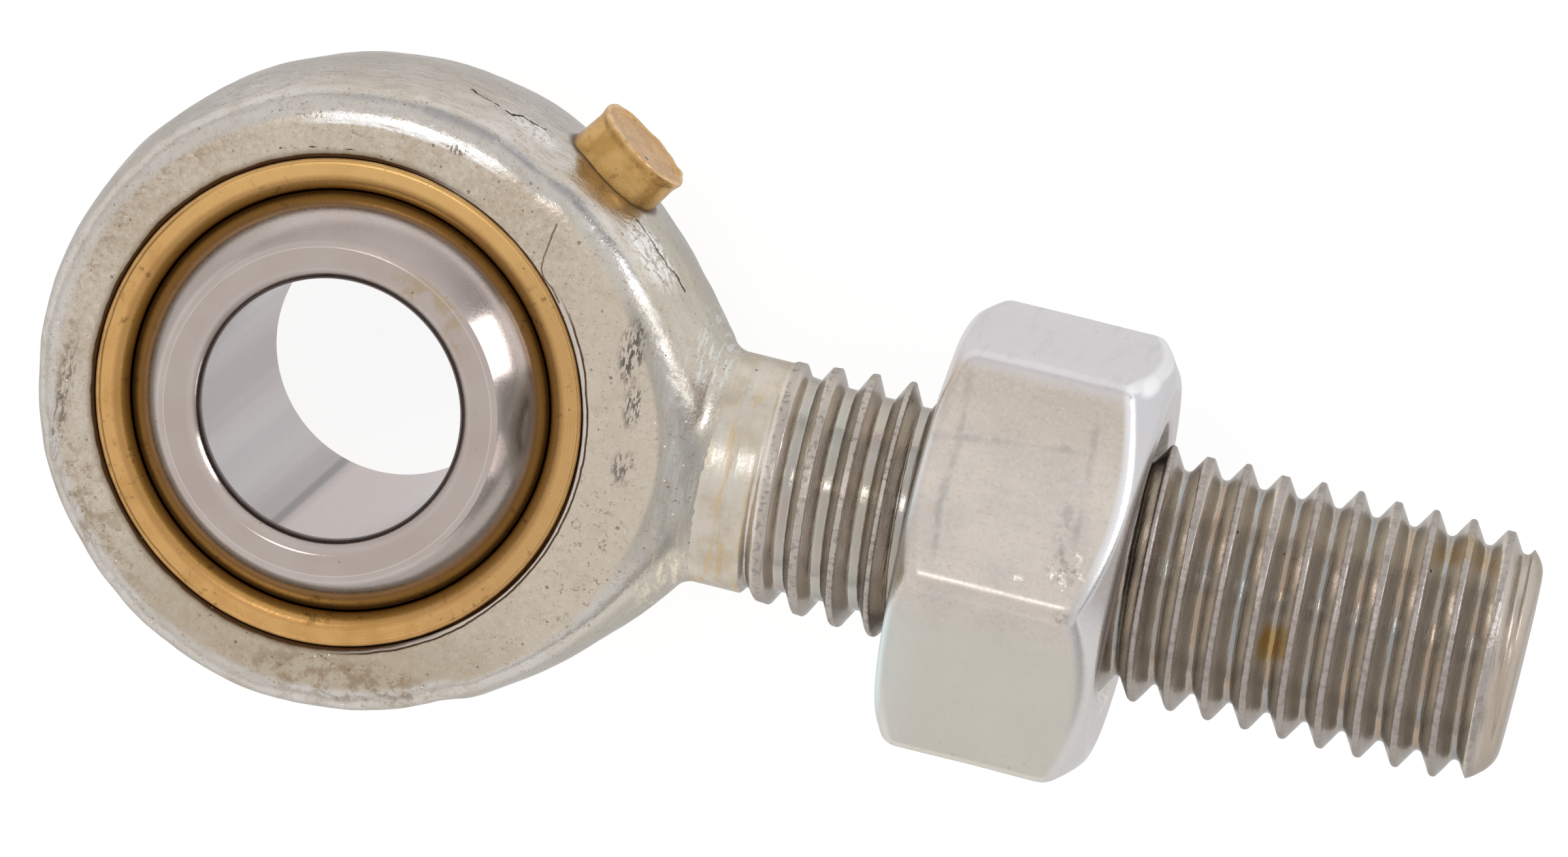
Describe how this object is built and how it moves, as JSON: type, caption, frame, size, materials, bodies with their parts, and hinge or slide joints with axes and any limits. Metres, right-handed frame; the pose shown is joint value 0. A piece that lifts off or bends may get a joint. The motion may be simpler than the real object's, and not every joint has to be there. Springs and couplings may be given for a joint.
{
  "type": "rod end",
  "caption": "Male rod end: forged eye on a threaded shank, brass race, tilting steel ball with a through bore, grease nipple in the rim and a hexagon lock nut.",
  "frame": {"origin": "centre of the ball, on the axis of its bore", "axes": "+Z along the bore, +X along the shank to the thread tip"},
  "size_m": [0.0693, 0.0302, 0.022],
  "materials": {
    "zinc_plated_steel": "satin zinc plate on a forged skin",
    "zinc_plated_nut": "satin zinc plate",
    "brass_race": "dull turned brass",
    "brass_nipple": "satin",
    "polished_steel": "polished"
  },
  "bodies": {
    "housing": {"housing": "zinc_plated_steel", "race": "brass_race", "grease_nipple": "brass_nipple"},
    "ball": {"ball": "polished_steel"},
    "lock_nut": {"lock_nut": "zinc_plated_nut"}
  },
  "joints": [
    {"name": "ball_tilt", "type": "hinge", "parent": "housing", "child": "ball", "pos_m": [0, 0, 0], "axis": [0, 1, 0], "range_deg": [-13, 13]},
    {"name": "nut_travel", "type": "slide", "parent": "housing", "child": "lock_nut", "axis": [1, 0, 0], "range_m": [-0.0058, 0.0164]}
  ]
}
